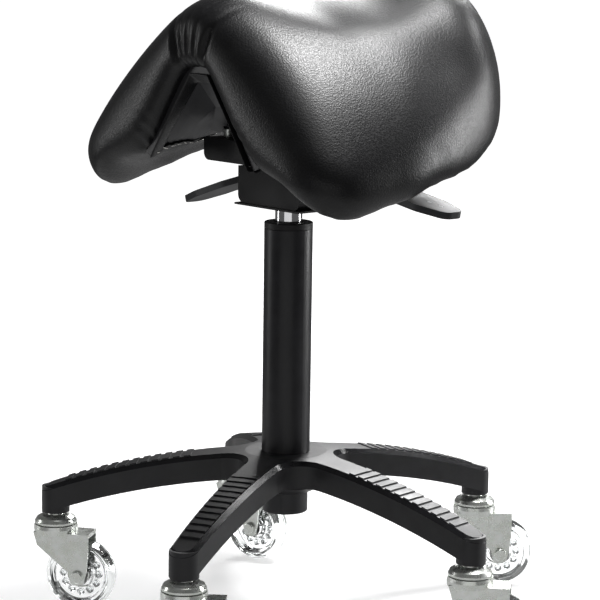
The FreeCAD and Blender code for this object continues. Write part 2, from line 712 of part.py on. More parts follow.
notches = block("lever_notches", (-housing_half - 1, lever_back - notch_half, housing_bottom + 16),
                (housing_half + 1, lever_back + notch_half, housing_top + 5))
lever_pin_radius = Size.of(3)
tilt_pin_radius = Size.of(5)
pivot_bores = [cylinder(f"lug_bore_{side + 1}", lever_pin_radius + 0.02, notch_half * 2 + 20,
                        (lever_pivot * side, lever_back - notch_half - 10, lever_height), ALONG_Y)
               for side in (-1, 1)]
tilt_bore = cylinder("tilt_bore", tilt_pin_radius + 0.02, housing_width + 10,
                     (-housing_half - 5, 0, tilt_height), ALONG_X)
hub_keep = cut("hub_keep", fused("housing_whole", [shell, hub] + lugs),
               fused("housing_tools", [cone_bore, notches] + pivot_bores))
tilt_holes = cut("tilt_holes", tilt_bore, block("tilt_holes_middle", (-30, -10, tilt_height - 10),
                                                (30, 10, tilt_height + 10)))
node("mechanism_housing", cut("mechanism_housing", hub_keep, tilt_holes))
cover_blank = block("cover_blank", (-housing_half - 2, -housing_front - 3, housing_bottom - 2),
                    (housing_half + 2, housing_back + 3, housing_bottom))
node("housing_floor", cut("housing_floor", cover_blank,
                          cylinder("cover_bore", lift_radius + 0.5, 6, (0, 0, housing_bottom - 4))))

tray_half = tray_width / 2
seat_blank = tray("seat_plate_blank", tray_half, tray_bottom, tray_top, tray_front, tray_back, 8)
seat_inside = block("seat_plate_inside",
                    (plate_steel - tray_half, plate_steel - tray_front, tray_bottom - 1),
                    (tray_half - plate_steel, tray_back - plate_steel, tray_top - plate_steel))
seat_shell = cut("seat_plate_shell", seat_blank, seat_inside)
ear_low = housing_half + free_gap * 2
EAR_HALF, EAR_DROP = 12, 9
ears = []
for side in (-1, 1):
    low_x = ear_low if side > 0 else -ear_low - plate_steel
    ears.append(block(f"ear_{side + 1}", (low_x, -EAR_HALF, tilt_height - EAR_DROP),
                      (low_x + plate_steel, EAR_HALF, tray_top - 1)))
BOLT_SIDE, BOLT_FRONT, BOLT_BACK = 40, -48, 58
bolt_spots = [(BOLT_SIDE * side, along) for side in (-1, 1) for along in (BOLT_FRONT, BOLT_BACK)]
plate_bores = [cylinder(f"plate_bore_{number}", 3.2, 12, (across, along, tray_top - 6))
               for number, (across, along) in enumerate(bolt_spots)]
ear_bore = cylinder("ear_bore", tilt_pin_radius + slide_gap, tray_width + 10,
                    (-tray_half - 5, 0, tilt_height), ALONG_X)
node("seat_plate", cut("seat_plate", fused("seat_plate_whole", [seat_shell] + ears),
                       fused("seat_plate_tools", plate_bores + [ear_bore])))

stubs = []
for side in (-1, 1):
    stub = turned(f"tilt_pin_{side + 1}", [
        (0, housing_half - plate_steel - 1), (tilt_pin_radius, housing_half - plate_steel - 1),
        (tilt_pin_radius, ear_low + plate_steel + free_gap),
        (tilt_pin_radius + 3, ear_low + plate_steel + free_gap),
        (tilt_pin_radius + 3, ear_low + plate_steel + 3), (0, ear_low + plate_steel + 3)])
    stub.Placement.Rotation = Rotation(ALONG_Z, Vector(side, 0, 0))
    stub.setExpression("Placement.Base.z", tilt_height.text)
    stubs.append(stub)
node("tilt_pins", group("tilt_pins", stubs))
lever_pins = [cylinder(f"lever_pin_{side + 1}", lever_pin_radius, notch_half * 2 + 8,
                       (lever_pivot * side, lever_back - notch_half - 4, lever_height), ALONG_Y)
              for side in (-1, 1)]
node("lever_pins", group("lever_pins", lever_pins))
LEAF_NECK, LEAF_WIDEST, LEAF_END, LEAF_TAPER = 34, 88, 34, 9


def paddle(label, side, droop):
    """A lever's leaf-shaped arm, made along +X from its pivot and then drooped to its side."""
    half = paddle_width / 2
    long = (lever_reach.value - lever_pivot.value) / math.cos(math.radians(droop.value))
    tip = half - LEAF_TAPER
    edge = [(-4, lever_half), (LEAF_NECK, lever_half), (LEAF_WIDEST, half), (long - LEAF_END, half),
            (long, tip)]
    outline = [(x, -across) for x, across in edge] + edge[::-1]
    body = padded(label, "XY_Plane", outline, paddle_thick, 0, both=True)
    rounded(body, label + "_tip", tip - 1, ALONG_Z, lambda middle: middle.x > long - 1)
    rounded(body, label + "_leaf", 26, ALONG_Z, lambda middle: LEAF_NECK - 8 < middle.x < long - LEAF_END + 1)
    heading = Rotation(ALONG_Z, 180 if side < 0 else 0)
    body.Placement = FreeCAD.Placement(
        Vector(lever_pivot.value * side, lever_back.value, lever_height.value),
        heading.multiply(Rotation(ALONG_Y, droop.value)))
    return body


def lever(name, side, droop, inner_arms):
    """A lever on its pin: the paddle, the boss round the pin and the arm inside the housing."""
    boss = cylinder(name + "_boss", lever_pin_radius + 3, lever_half * 2,
                    (lever_pivot * side, lever_back - lever_half, lever_height), ALONG_Y)
    bore = cylinder(name + "_bore", lever_pin_radius + slide_gap, lever_half * 2 + 4,
                    (lever_pivot * side, lever_back - lever_half - 2, lever_height), ALONG_Y)
    whole = fused(name + "_whole", [paddle(name + "_paddle", side, droop), boss] + inner_arms)
    return node(name, cut(name, whole, bore))


arm_low = pin_top + free_gap * 3
arm_high = arm_low + 4
height_arms = [
    block("height_arm_post", (-lever_pivot - 5, lever_back - lever_half, lever_height),
          (-lever_pivot + 5, lever_back + lever_half, arm_high)),
    block("height_arm_side", (-lever_pivot - 5, -6, arm_low),
          (-lever_pivot + 5, lever_back + lever_half, arm_high)),
    block("height_arm_end", (-lever_pivot - 5, -6, arm_low), (6, 6, arm_high))]
lever("height_lever", -1, height_droop, height_arms)
tooth_arms = [block("tooth_arm", (lever_pivot - 20, lever_back - 3, lever_height - 2),
                    (lever_pivot + 2, lever_back + 3, lever_height + 5))]
lever("tilt_lever", 1, tilt_droop, tooth_arms)
node("lock_sector", block("lock_sector", (lever_pivot - 16, lever_back - 18, tray_bottom),
                          (lever_pivot - 12, lever_back + 18, tray_top - plate_steel)))


# ---- Saddle ----

# Each line of the saddle is drawn through a few points: (distance in front of the column, value).
half_seat = saddle_width.value / 2
forward = saddle_forward.value
front, back = saddle_front.value - forward, saddle_back.value + forward
width_line = [(front, 0.96), (90, 1.0), (0, 1.0), (-60, 0.94), (-120, 0.86), (-150, 0.785), (-178, 0.65),
              (8 - back, 0.47), (-back, 0.30)]
top_line_points = [(front, pommel_top.value - 10), (80, pommel_top.value - 2), (10, dip_top.value),
                   (-70, dip_top.value + 9), (-145, cantle_top.value), (-178, cantle_top.value - 9),
                   (8 - back, cantle_top.value - 30), (-back, cantle_top.value - 52)]
low_line = [(front, 16), (104, -3), (60, 0), (25, 7), (-3, 27), (-52, 44), (-120, 62), (-150, 84),
            (-178, 110), (8 - back, 134), (-back, 156)]
roof_line = [(front, arch_top.value), (100, arch_top.value - 14), (62, tray_top.value + 32),
             (38, tray_top.value + 4), (18, tray_top.value), (-135, tray_top.value),
             (-165, tray_top.value + 30), (-back, tray_top.value + 88)]
flat_line = [(front, 10), (62, 34), (38, 70), (18, 90), (-135, 90), (-165, 60), (-back, 26)]
lip_line = [(front, 78), (90, 84), (60, 97), (0, 127), (-52, 146), (-120, 134), (-150, 118), (-178, 92),
            (-back, 44)]
rise_line = [(front, 30), (100, 50), (60, 52), (25, 45), (-3, 30), (-52, 24), (-120, 22), (-back, 22)]
squeeze_line = [(front, 0.80), (front - 3, 0.52), (front - 8, 0.29), (front - 16, 0.10), (front - 28, 0.0),
                (-back, 0.0)]
stations = [front, front - 3, front - 8, front - 16, front - 28, 80, 55, 30, 5, -25, -60, -95, -130, -155,
            -178, 8 - back, -back]


def on_line(line, place):
    """Value of a line at a place, eased between its points."""
    for (ahead, first), (behind, second) in zip(line, line[1:]):
        if ahead >= place >= behind:
            share = (ahead - place) / (ahead - behind)
            return first + (second - first) * share
    return line[-1][1]


def lip_height(place):
    """Height of the lip where the cushion's underside turns down into the flap."""
    low = flap_bottom.value + on_line(low_line, place)
    room = on_line(roof_line, place) + pan_thick.value + free_gap.value - low
    return low + min(on_line(rise_line, place), max(0.5 * room, room - 14))


def section_points(place, inset):
    """Right half of the cushion's section: over the top, round the flap and back along the underside."""
    wide = half_seat * on_line(width_line, place)
    top = on_line(top_line_points, place)
    low = flap_bottom.value + on_line(low_line, place)
    over_pan = pan_thick.value + free_gap.value
    roof = on_line(roof_line, place) + over_pan
    flat = on_line(flat_line, place)
    lip = on_line(lip_line, place) + over_pan
    widest = low + 0.17 * (top - low)
    lip_up = lip_height(place)
    power = 1.5 - 0.55 * min(1.0, max(0.0, (90 - place) / 230))
    outer = []
    for degrees in (0, 20, 38, 54, 70, 84):
        turn = math.radians(degrees)
        outer.append((wide * math.sin(turn) ** power, widest + (top - widest) * math.cos(turn) ** power))
    flap = [(wide - 0.06 * (wide - lip), low + 0.42 * (widest - low)), (0.62 * wide + 0.38 * lip, low),
            (0.25 * wide + 0.75 * lip, low + 0.55 * (lip_up - low))]
    inner = [(lip, lip_up), (0.44 * lip + 0.56 * flat, 0.42 * lip_up + 0.58 * roof), (flat, roof - 1),
             (0, roof)]
    middle = [(0, (top + roof) / 2), (flat, (top + roof) / 2), (lip * 0.8, (widest + roof) / 2 + 20),
              ((wide + lip) / 2, (widest + low) / 2 + 20)]
    shrink = on_line(squeeze_line, place)
    return [towards(point, nearest(middle, point), shrink, inset) for point in outer + flap + inner]


def nearest(points, here):
    """The point of a broken line that lies nearest to a point."""
    best = None
    for (ax, az), (bx, bz) in zip(points, points[1:]):
        run = (bx - ax) ** 2 + (bz - az) ** 2
        share = 0 if run == 0 else ((here[0] - ax) * (bx - ax) + (here[1] - az) * (bz - az)) / run
        share = min(1.0, max(0.0, share))
        spot = (ax + share * (bx - ax), az + share * (bz - az))
        gap = math.hypot(spot[0] - here[0], spot[1] - here[1])
        if best is None or gap < best[0]:
            best = (gap, spot)
    return best[1]


def towards(here, there, share, inset):
    """A point moved a share of the way and then an inset towards another."""
    far = math.hypot(there[0] - here[0], there[1] - here[1])
    move = share + (inset / far if far > 0 else 0)
    return (here[0] + (there[0] - here[0]) * move, here[1] + (there[1] - here[1]) * move)


def section_wire(place, inset, shift):
    right = section_points(place, inset)
    left = [(-across, up) for across, up in reversed(right[1:-1])]
    spots = [Vector(across, -(place + shift + forward), up) for across, up in right + left]
    spline = Part.BSplineCurve()
    spline.interpolate(spots, True)
    return Part.Wire(spline.toShape())


def cushion(inset):
    """The whole cushion, drawn in by an inset all round."""
    wires = []
    for number, place in enumerate(stations):
        shift = -inset if number == 0 else inset if number == len(stations) - 1 else 0
        wires.append(section_wire(place, inset, shift))
    return Part.makeLoft(wires, True, False)


def pan_wire(place):
    """Section of the seat pan: a plate of even thickness under the cushion."""
    roof = on_line(roof_line, place)
    flat = on_line(flat_line, place)
    lip = on_line(lip_line, place)
    lip_up = lip_height(place)
    thick = pan_thick.value
    under = [(lip, lip_up), (0.44 * lip + 0.56 * flat, 0.42 * lip_up + 0.58 * roof), (flat, roof),
             (0, roof)]
    push = [(0.9, 0.4), (0.75, 0.6), (0.0, 1.0), (0.0, 1.0)]
    over = [(x + thick * dx, z + thick * dz) for (x, z), (dx, dz) in zip(under, push)]
    right = over[::-1] + under
    loop = right + [(-x, z) for x, z in under[-2::-1]] + [(-x, z) for x, z in over[:-1]]
    spots = [Vector(x, -place - forward, z) for x, z in loop]
    return Part.makePolygon(spots + spots[:1])


def solid_node(name, shape):
    made = doc.addObject("Part::Feature", name)
    made.Shape = shape
    return node(name, made)


outer_cushion = cushion(0)
inner_cushion = cushion(leather_thick.value)
solid_node("seat_cover", outer_cushion.cut(inner_cushion))
solid_node("seat_foam", cushion(leather_thick.value + 0.15))
pan_stations = [front - 18, front - 30, 80, 62, 50, 38, 18, -25, -60, -95, -135, -165, -180]
pan_blank = Part.makeLoft([pan_wire(place) for place in pan_stations], True, True)
for across, along in bolt_spots:
    pan_blank = pan_blank.cut(Part.makeCylinder(5.02, pan_thick.value + 4,
                                                Vector(across, along, tray_top.value - 2)))
solid_node("seat_pan", pan_blank.cut(outer_cushion))

inserts = [turned(f"insert_{number}", [(3.05, tray_top + 0.1), (5, tray_top + 0.1), (5, tray_top + 8),
                                       (3.05, tray_top + 8)]) for number in range(len(bolt_spots))]
bolts = [turned(f"seat_bolt_{number}", [
    (0, tray_top - plate_steel - 4), (5, tray_top - plate_steel - 4), (5, tray_top - plate_steel),
    (3, tray_top - plate_steel), (3, tray_top + 7.5), (0, tray_top + 7.5)]) for number in range(len(bolt_spots))]
for pieces in (inserts, bolts):
    for piece, (across, along) in zip(pieces, bolt_spots):
        piece.Placement.Base = Vector(across, along, 0)
node("pan_inserts", group("pan_inserts", inserts))
node("seat_bolts", group("seat_bolts", bolts))

doc.recompute()
for thing in doc.Objects:
    shape = getattr(thing, "Shape", None)
    hollow = shape is not None and thing.TypeId.startswith("Part") and shape.isNull()
    if "Invalid" in thing.State or "Error" in thing.State or hollow:
        raise RuntimeError(f"{thing.Name} did not recompute: {thing.State}")
os.makedirs("parts", exist_ok=True)
for name, piece in nodes.items():
    shape = piece.Shape
    if shape.isNull() or not shape.isValid():
        raise RuntimeError(f"{name} has no valid shape")
    shape.exportStep(f"parts/{name}.step")
print(len(nodes), "parts exported")
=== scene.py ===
# %% [markdown]
# Adjustable saddle stool, dressed for show
#
# The stool's frame, its joints and its sizes come from the CAD model, which arrives as a fixed
# frame. This lesson gives every metal and plastic part its finish, and then builds what CAD does
# badly: the leather saddle with its gathers and staples, the pockets in the moulded wheels and the
# print on a lever. It starts with the frame, so that every later piece can take its place from it.

# %% Load the frame
import math
import random

import bmesh
import bpy
from mathutils import Matrix, Vector
from mathutils.bvhtree import BVHTree


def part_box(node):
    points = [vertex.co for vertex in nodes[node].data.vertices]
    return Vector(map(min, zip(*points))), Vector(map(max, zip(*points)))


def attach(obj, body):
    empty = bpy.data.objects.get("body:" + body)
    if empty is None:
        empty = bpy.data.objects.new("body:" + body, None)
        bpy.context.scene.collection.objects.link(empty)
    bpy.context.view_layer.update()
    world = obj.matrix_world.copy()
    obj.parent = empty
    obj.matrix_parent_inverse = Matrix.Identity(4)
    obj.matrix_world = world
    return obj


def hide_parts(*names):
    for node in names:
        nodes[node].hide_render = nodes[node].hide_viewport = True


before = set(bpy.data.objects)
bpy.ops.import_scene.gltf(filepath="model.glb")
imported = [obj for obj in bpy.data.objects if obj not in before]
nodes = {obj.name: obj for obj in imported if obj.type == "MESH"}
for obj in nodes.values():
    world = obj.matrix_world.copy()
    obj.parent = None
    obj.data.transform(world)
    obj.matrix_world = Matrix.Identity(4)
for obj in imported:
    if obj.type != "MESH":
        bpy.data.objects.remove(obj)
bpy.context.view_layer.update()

# %% [markdown]
# Four helpers save repeating the same lines. The first turns a bmesh into a named object at the
# origin, which rides on a body and takes its finish from a material slot. The second adds a node to
# a material and plugs its inputs in, the third starts a material on the Principled shader, and the
# fourth plugs a pattern into that shader.

# %% Helpers for pieces and materials
millimetre = 0.001


def new_piece(name, bm, body, material, smooth=True):
    """A bmesh made into an object that moves with a body of the stool."""
    mesh = bpy.data.meshes.new(name)
    bm.to_mesh(mesh)
    bm.free()
    mesh.polygons.foreach_set("use_smooth", [smooth] * len(mesh.polygons))
    mesh.materials.append(material)
    piece = bpy.data.objects.new(name, mesh)
    bpy.context.scene.collection.objects.link(piece)
    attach(piece, body)
    print(name, "has", len(mesh.polygons), "faces and rides on", body)
    return piece


def add(material, kind, inputs=(), **settings):
    """A new node in a material: inputs are values, or the output sockets of other nodes."""
    node = material.node_tree.nodes.new(kind)
    for setting, value in settings.items():
        setattr(node, setting, value)
    for socket, value in dict(inputs).items():
        if isinstance(value, bpy.types.NodeSocket):
            material.node_tree.links.new(value, node.inputs[socket])
        else:
            node.inputs[socket].default_value = value
    return node


def start_material(name, settings):
    """A Principled material with the values that are the same all over it."""
    material = bpy.data.materials.new(name)
    material.use_nodes = True
    shader = material.node_tree.nodes["Principled BSDF"]
    for socket, value in settings.items():
        shader.inputs[socket].default_value = value
    return material, shader


def plug(material, output, shader, socket):
    """A node's output joined to one of the shader's inputs."""
    material.node_tree.links.new(output, shader.inputs[socket])


print("helpers ready")

# %% [markdown]
# Patterns read Object coordinates. Every piece sits at the origin, so these are metres on the stool
# itself, and a scale of 500 gives marks about two millimetres apart. Noise is turned into a range
# of colours or roughness with Map Range, and into relief with Bump, whose distance is the real
# depth of the mark.

# %% Helpers for patterns


def noise(material, scale, detail=3.0, roughness=0.5, stretch=(1, 1, 1)):
    """Noise over the piece, stretched along an axis where the mark of a tool runs one way."""
    place = add(material, "ShaderNodeTexCoord").outputs["Object"]
    turned = add(material, "ShaderNodeMapping", {"Vector": place, "Scale": stretch}).outputs["Vector"]
    made = add(material, "ShaderNodeTexNoise",
               {"Vector": turned, "Scale": scale, "Detail": detail, "Roughness": roughness})
    return made.outputs["Fac"]


def pebbles(material, scale, feature="F1", smoothness=0.6):
    """Rounded cells, as on grained leather or a spangled coat."""
    place = add(material, "ShaderNodeTexCoord").outputs["Object"]
    wobble = add(material, "ShaderNodeTexNoise",
                 {"Vector": place, "Scale": scale * 0.6, "Detail": 2.0})
    push = add(material, "ShaderNodeVectorMath", {0: wobble.outputs["Color"], "Scale": 0.8 / scale},
               operation="SCALE")
    moved = add(material, "ShaderNodeVectorMath", {0: place, 1: push.outputs["Vector"]},
                operation="ADD")
    cells = add(material, "ShaderNodeTexVoronoi", {"Vector": moved.outputs["Vector"], "Scale": scale},
                feature=feature)
    if feature == "SMOOTH_F1":
        cells.inputs["Smoothness"].default_value = smoothness
    return cells


def spread(material, value, low, high, first=0.3, last=0.7):
    """The part of a pattern between first and last turned into a range of values."""
    ranged = add(material, "ShaderNodeMapRange", {
        "Value": value, "From Min": first, "From Max": last, "To Min": low, "To Max": high})
    return ranged.outputs["Result"]


def tint(material, value, dark, light, first=0.3, last=0.7):
    """A pattern turned into a mix of two colours."""
    share = spread(material, value, 0.0, 1.0, first, last)
    return add(material, "ShaderNodeMix", {"Factor": share, "A": dark, "B": light},
               data_type="RGBA").outputs["Result"]


def relief(material, height, depth, strength=1.0, under=None):
    """Bump of a real depth, which may lie on another bump."""
    inputs = {"Height": height, "Distance": depth, "Strength": strength}
    if under is not None:
        inputs["Normal"] = under
    return add(material, "ShaderNodeBump", inputs).outputs["Normal"]


print("pattern helpers ready")

# %% [markdown]
# Powder coat is plastic melted onto metal. It is black and satin, with an orange-peel skin, and it
# thins and gleams where the casting is bevelled. A bevel is told from a flat by the way it faces:
# its normal leans, neither straight up nor level, so the upright part of the normal picks the
# smoother finish.

# %% Powder-coated casting, tube and plates


def powder_coat(name, colour, rough, gleam, peel=900, depth=0.00006):
    """Black powder coat: rough is its roughness on the flat and gleam where the metal leans."""
    material, shader = start_material(name, {"IOR": 1.5, "Coat Weight": 0.0})
    normal = add(material, "ShaderNodeNewGeometry").outputs["True Normal"]
    parts = add(material, "ShaderNodeSeparateXYZ", {"Vector": normal})
    facing = add(material, "ShaderNodeMath", {0: parts.outputs["Z"]},
                 operation="ABSOLUTE").outputs["Value"]
    not_flat = spread(material, facing, 1.0, 0.0, 0.86, 0.93)
    not_wall = spread(material, facing, 0.0, 1.0, 0.15, 0.35)
    bevel = add(material, "ShaderNodeMath", {0: not_flat, 1: not_wall},
                operation="MULTIPLY").outputs["Value"]
    patches = noise(material, 30, 4)
    flat = spread(material, patches, rough - 0.05, rough + 0.06)
    both = add(material, "ShaderNodeMix", {"Factor": bevel, "A": flat, "B": gleam},
               data_type="FLOAT").outputs["Result"]
    plug(material, both, shader, "Roughness")
    darker = [*(channel * 0.75 for channel in colour), 1]
    lighter = [*(channel * 1.3 for channel in colour), 1]
    plug(material, tint(material, noise(material, 60, 5), darker, lighter), shader, "Base Color")
    skin = relief(material, noise(material, peel, 2), depth)
    grit = relief(material, noise(material, peel * 4, 2), depth / 3, under=skin)
    plug(material, grit, shader, "Normal")
    return material


finishes = {
    "black_casting": powder_coat("cast_powder_coat", (0.014, 0.014, 0.016), 0.42, 0.16),
    "black_tube": powder_coat("tube_paint", (0.012, 0.012, 0.015), 0.36, 0.34,
                              peel=700, depth=0.00003),
    "black_steel": powder_coat("plate_powder_coat", (0.005, 0.005, 0.006), 0.5, 0.4)}
plate_shader = finishes["black_steel"].node_tree.nodes["Principled BSDF"]
plate_shader.inputs["Specular IOR Level"].default_value = 0.25
print("powder coats:", ", ".join(finishes))

# %% [markdown]
# Moulded plastic copies its mould: a fine spark-eroded texture on the black parts, and a smoother
# satin on the levers and the pan under the saddle. One function makes them all, with the rubber and
# the foam, because only the colour, the gloss and the size of the grain differ.

# %% Moulded plastics, rubber and foam


def moulded(name, colour, rough, grain, depth):
    """Plastic, rubber or foam: grain is how fine the mould's texture is, and depth how deep."""
    material, shader = start_material(name, {"IOR": 1.46})
    patches = noise(material, 25, 3)
    plug(material, spread(material, patches, rough - 0.04, rough + 0.06), shader, "Roughness")
    darker = [*(channel * 0.85 for channel in colour), 1]
    lighter = [*(channel * 1.15 for channel in colour), 1]
    plug(material, tint(material, noise(material, 12, 4), darker, lighter), shader, "Base Color")
    spark = relief(material, noise(material, grain, 3, 0.6), depth)
    plug(material, spark, shader, "Normal")
    return material


finishes["black_plastic"] = moulded("spark_textured_plastic", (0.012, 0.012, 0.013), 0.48, 1600,
                                    0.00008)
finishes["lever_plastic"] = moulded("lever_plastic_satin", (0.024, 0.025, 0.028), 0.5, 900, 0.00002)
finishes["pan_plastic"] = moulded("pan_plastic_satin", (0.03, 0.03, 0.033), 0.42, 500, 0.00004)
finishes["rubber"] = moulded("buffer_rubber", (0.02, 0.02, 0.02), 0.7, 1200, 0.0001)
finishes["foam"] = moulded("cold_cure_foam", (0.3, 0.27, 0.22), 0.9, 700, 0.0004)
print("plastics:", ", ".join(finishes))

# %% [markdown]
# Three metals. The gas spring's cylinder is chrome on ground steel, so faint scratches run round
# it. The casters are zinc plate, bright but cloudy, with a breath of yellow-green from its
# passivation. Bearing steel is ground and left bare.

# %% Chrome, zinc and bearing steel
chrome, shader = start_material("chrome_plate", {"Metallic": 1.0})
rings = noise(chrome, 60, 4, stretch=(1, 1, 60))
plug(chrome, spread(chrome, rings, 0.04, 0.12), shader, "Roughness")
bright = tint(chrome, noise(chrome, 40), (0.78, 0.79, 0.81, 1), (0.9, 0.9, 0.91, 1))
plug(chrome, bright, shader, "Base Color")
plug(chrome, relief(chrome, rings, 0.000004), shader, "Normal")
finishes["chrome"] = chrome

zinc, shader = start_material("zinc_plate", {"Metallic": 0.85})
cloud = noise(zinc, 90, 5, 0.6)
spangle = pebbles(zinc, 260).outputs["Color"]
plug(zinc, spread(zinc, cloud, 0.2, 0.36), shader, "Roughness")
passivated = tint(zinc, cloud, (0.74, 0.77, 0.71, 1), (0.93, 0.95, 0.93, 1))
flecked = add(zinc, "ShaderNodeMix", {"Factor": 0.06, "A": passivated, "B": spangle},
              data_type="RGBA", blend_type="SOFT_LIGHT").outputs["Result"]
plug(zinc, flecked, shader, "Base Color")
plug(zinc, relief(zinc, noise(zinc, 350, 3), 0.00003), shader, "Normal")
finishes["zinc"] = zinc

steel, shader = start_material("ground_steel", {"Metallic": 1.0, "Base Color": (0.5, 0.5, 0.5, 1)})
grind = noise(steel, 200, 3, stretch=(1, 1, 20))
plug(steel, spread(steel, grind, 0.2, 0.4), shader, "Roughness")
plug(steel, relief(steel, grind, 0.00001), shader, "Normal")
finishes["bearing_steel"] = steel
print("metals: chrome_plate, zinc_plate, ground_steel")

# %% [markdown]
# The wheels are clear polyurethane on a clear core. Full transmission makes Cycles bend the view
# through the solid wheel as the real one does. A little haze, with rougher scuffs in patches on the
# tyre, keeps it from looking like cut glass.

# %% Clear plastics


def clear(name, colour, rough, scuff, scale):
    """Clear plastic: rough is its roughness where it is clean, and scuff where it is worn."""
    material, shader = start_material(
        name, {"IOR": 1.45, "Transmission Weight": 1.0, "Base Color": (*colour, 1)})
    haze = noise(material, scale, 5, 0.6)
    plug(material, spread(material, haze, rough, scuff, 0.45, 0.75), shader, "Roughness")
    plug(material, relief(material, noise(material, 260, 2), 0.00004), shader, "Normal")
    return material


finishes["clear_tyre"] = clear("clear_tread", (0.97, 0.99, 0.985), 0.02, 0.16, 70)
finishes["clear_hub"] = clear("clear_core", (0.98, 0.99, 0.99), 0.01, 0.05, 120)
print("clear plastics: clear_tread, clear_core")

# %% [markdown]
# Leather is the finish people touch. Its grain is a field of pebbles about two millimetres across
# with sharp valleys between them, finer pores inside each pebble, and long soft creases. The
# valleys stay duller than the tops, which hands and trousers polish, so the cells drive the
# roughness as well as the relief.

# %% Leather
pebbles_per_metre = 560
leather, shader = start_material(
    "black_leather", {"IOR": 1.5, "Coat Weight": 0.0, "Specular IOR Level": 0.4})
cells = pebbles(leather, pebbles_per_metre, "SMOOTH_F1").outputs["Distance"]
pebble_height = spread(leather, cells, 1.0, 0.0, 0.1, 0.75)
pores = noise(leather, 2600, 2)
creases = noise(leather, 38, 6, 0.62)
plug(leather, spread(leather, cells, 0.29, 0.42, 0.2, 0.7), shader, "Roughness")
# The hide's colour follows the creases: darker down in their valleys, which is painted shade, and
# lighter on their crowns.
hide = tint(leather, creases, (0.006, 0.006, 0.007, 1), (0.012, 0.012, 0.013, 1))
plug(leather, hide, shader, "Base Color")
slack = relief(leather, creases, 0.00025, 0.5)
grained = relief(leather, pebble_height, 0.0001, under=slack)
plug(leather, relief(leather, pores, 0.00003, under=grained), shader, "Normal")
finishes["leather"] = leather
print("leather: pebbles of", round(1000 / pebbles_per_metre, 1), "mm")

# %% [markdown]
# Each CAD part came with a plain colour named after its slot, and that name picks its new finish.
# The material is swapped in the slot, and the mesh is left as it is.

# %% Dress the CAD parts
for part in nodes.values():
    for place in part.material_slots:
        place.material = finishes[place.material.name]
print("dressed", len(nodes), "parts")

# %% [markdown]
# The saddle is drawn the way its maker cuts it: as a row of sections from the pommel at the front to
# the cantle at the back. A few lines say how each measure changes along the seat, and every section
# is worked out from them. Each pair is a place, in millimetres in front of the saddle's own zero,
# and a measure there: a height above the floor, a height above the flaps' bottom, or a distance
# from the middle. Width and squeeze are shares of 1.

# %% Lines of the saddle
forward = 8  # how far the saddle's zero lies in front of the column
front, back = 134 - forward, 188 + forward  # its length each way from that zero
half_seat = 205
flap_bottom, pommel_top, dip_top, cantle_top = 440, 657, 650, 680
tray_top, arch_top = 504, 583  # the pan's underside, over the mechanism and under the pommel
pan_thick, free_gap = 9, 0.3
over_pan = pan_thick + free_gap
width_line = [(front, 0.96), (90, 1.0), (0, 1.0), (-60, 0.94), (-120, 0.85), (-150, 0.77),
              (-178, 0.64), (8 - back, 0.47), (-back, 0.30)]
crest_line = [(front, pommel_top - 10), (80, pommel_top - 2), (10, dip_top), (-70, dip_top + 9),
              (-145, cantle_top), (-178, cantle_top - 9), (8 - back, cantle_top - 30),
              (-back, cantle_top - 52)]
low_line = [(front, 14), (104, 5), (72, 0), (32, 13), (12, 15), (-8, 20), (-28, 28), (-44, 31),
            (-60, 33), (-95, 39), (-120, 49), (-150, 61), (-178, 74), (8 - back, 94), (-back, 118)]
roof_line = [(front, arch_top), (100, arch_top - 14), (62, tray_top + 32), (38, tray_top + 4),
             (18, tray_top), (-135, tray_top), (-165, tray_top + 30), (-back, tray_top + 88)]
flat_line = [(front, 10), (62, 34), (38, 70), (18, 90), (-135, 90), (-165, 60), (-back, 26)]
lip_line = [(front, 78), (90, 84), (60, 97), (0, 127), (-52, 146), (-120, 134), (-150, 118),
            (-178, 92), (-back, 44)]
pan_line = [(front, 16), (104, -3), (60, 0), (25, 7), (-3, 27), (-52, 44), (-120, 62), (-150, 84),
            (-178, 110), (8 - back, 134), (-back, 156)]
rise_line = [(front, 30), (100, 50), (60, 52), (25, 45), (-3, 30), (-52, 24), (-120, 22),
             (-back, 22)]
# wrap: how far the leather's inner side lies above the pan's underside, which it wraps in front
wrap_line = [(front, -2.5), (front - 15, -2.5), (front - 24, over_pan), (-back, over_pan)]
# squeeze: how far a section is drawn in towards its middle, which rounds off the front end
squeeze_line = [(front, 0.80), (front - 3, 0.55), (front - 8, 0.36), (front - 16, 0.20),
                (front - 28, 0.09), (80, 0.03), (55, 0.0), (-back, 0.0)]
lip_cover = -1  # the leather's lip lies a millimetre nearer the middle than the pan's
stations = [front, front - 3, front - 8, front - 16, front - 28, 80, 55, 30, 5, -25, -60, -95, -130,
            -155, -178, 8 - back, -back]


def on_line(line, place):
    """Value of a line at a distance in front of the column."""
    for (ahead, first), (behind, second) in zip(line, line[1:]):
        if ahead >= place >= behind:
            return first + (second - first) * (ahead - place) / (ahead - behind)
    return line[-1][1]


def nearest(points, here):
    """The point of a broken line that lies nearest to a point."""
    spots = []
    for start, end in zip(points, points[1:]):
        run = end - start
        share = (here - start).dot(run) / run.length_squared if run.length_squared else 0
        spots.append(start + run * min(1, max(0, share)))
    return min(spots, key=lambda spot: (spot - here).length)


def lip_height(place):
    """Height of the lip where the underside turns down into the flap."""
    low = flap_bottom + on_line(pan_line, place)
    room = on_line(roof_line, place) + over_pan - low
    return low + min(on_line(rise_line, place), max(0.5 * room, room - 14))


def pan_curve(place):
    """Underside of the pan at one station, from the lip up to the middle."""
    roof, flat, lip = on_line(roof_line, place), on_line(flat_line, place), on_line(lip_line, place)
    lip_up = lip_height(place)
    return [Vector((lip, lip_up)), Vector((0.44 * lip + 0.56 * flat, 0.42 * lip_up + 0.58 * roof)),
            Vector((flat, roof)), Vector((0, roof))]


